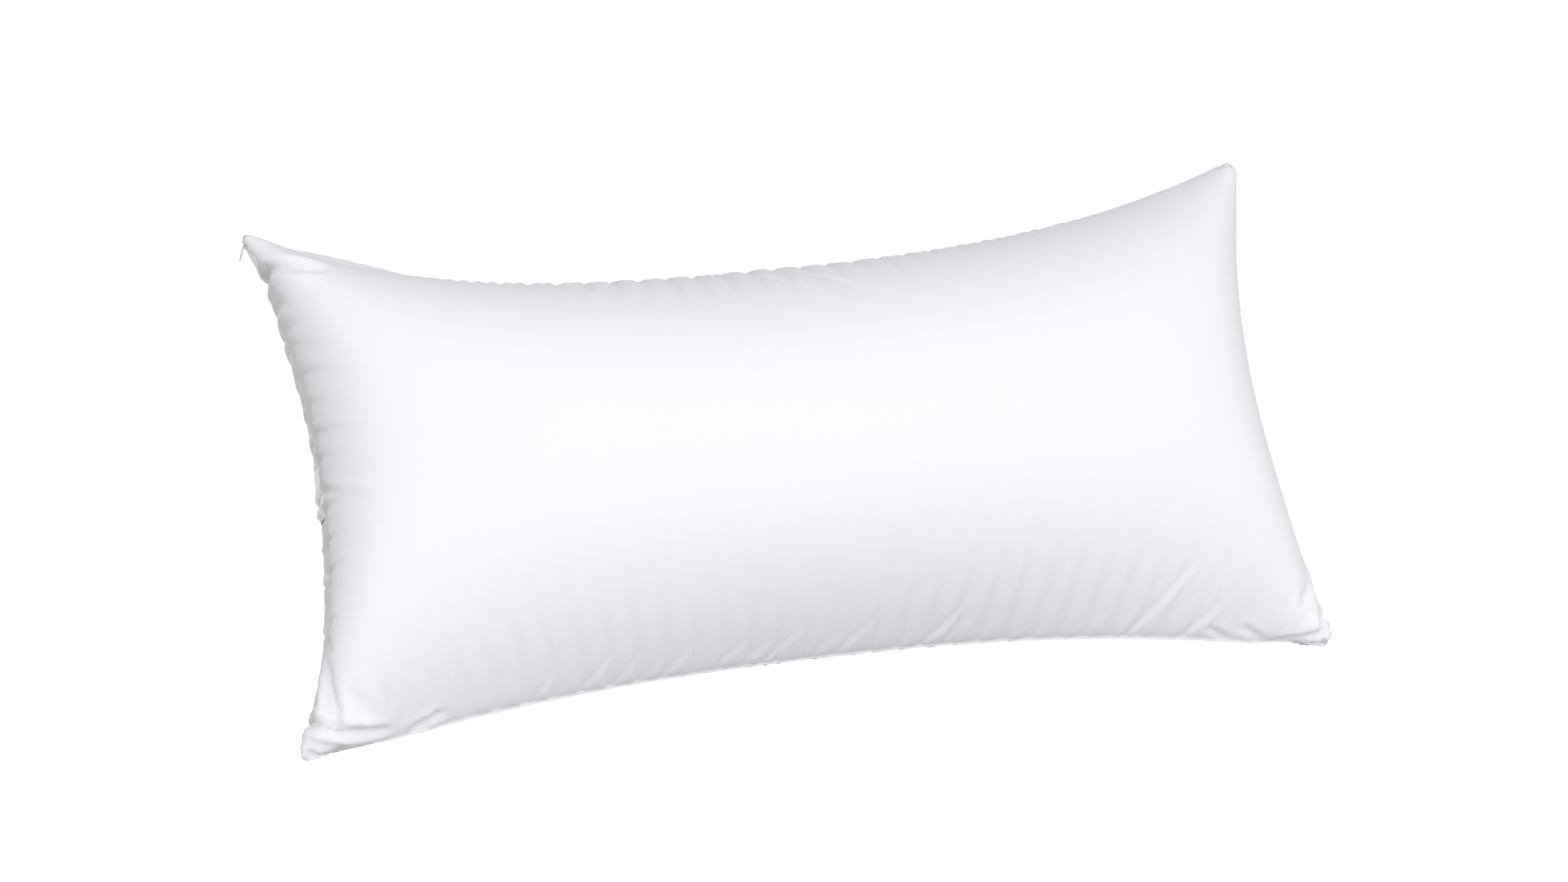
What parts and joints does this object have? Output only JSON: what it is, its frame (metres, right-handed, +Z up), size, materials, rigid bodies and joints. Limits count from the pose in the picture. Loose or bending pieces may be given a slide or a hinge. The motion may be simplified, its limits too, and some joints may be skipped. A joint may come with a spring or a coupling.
{
  "type": "bed pillow",
  "caption": "Oblong stuffed bed pillow: two cotton panels sewn together on four sides, drawn in between pointed corners, lying flat on its back.",
  "frame": {"origin": "middle of the footprint, on the surface that the pillow lies on", "axes": "+X along the pillow's length, away from the closing seam; +Y across its width; +Z up, out of the front panel"},
  "size_m": [0.756, 0.3744, 0.226],
  "materials": {
    "ticking": "crisp matt white cotton, close plain weave",
    "fibre": "loose matt white fibre",
    "thread": "spun white sewing thread",
    "label": "smooth white satin tape"
  },
  "bodies": {
    "root": {"front_ticking": "ticking", "back_ticking": "ticking", "fibre_fill": "fibre", "seam_thread_far": "thread", "seam_thread_near": "thread", "seam_thread_right": "thread", "closing_seam_thread": "thread", "overlock_far": "thread", "overlock_near": "thread", "overlock_right": "thread", "overlock_left": "thread", "thread_tail": "thread", "care_label": "label"}
  },
  "joints": []
}
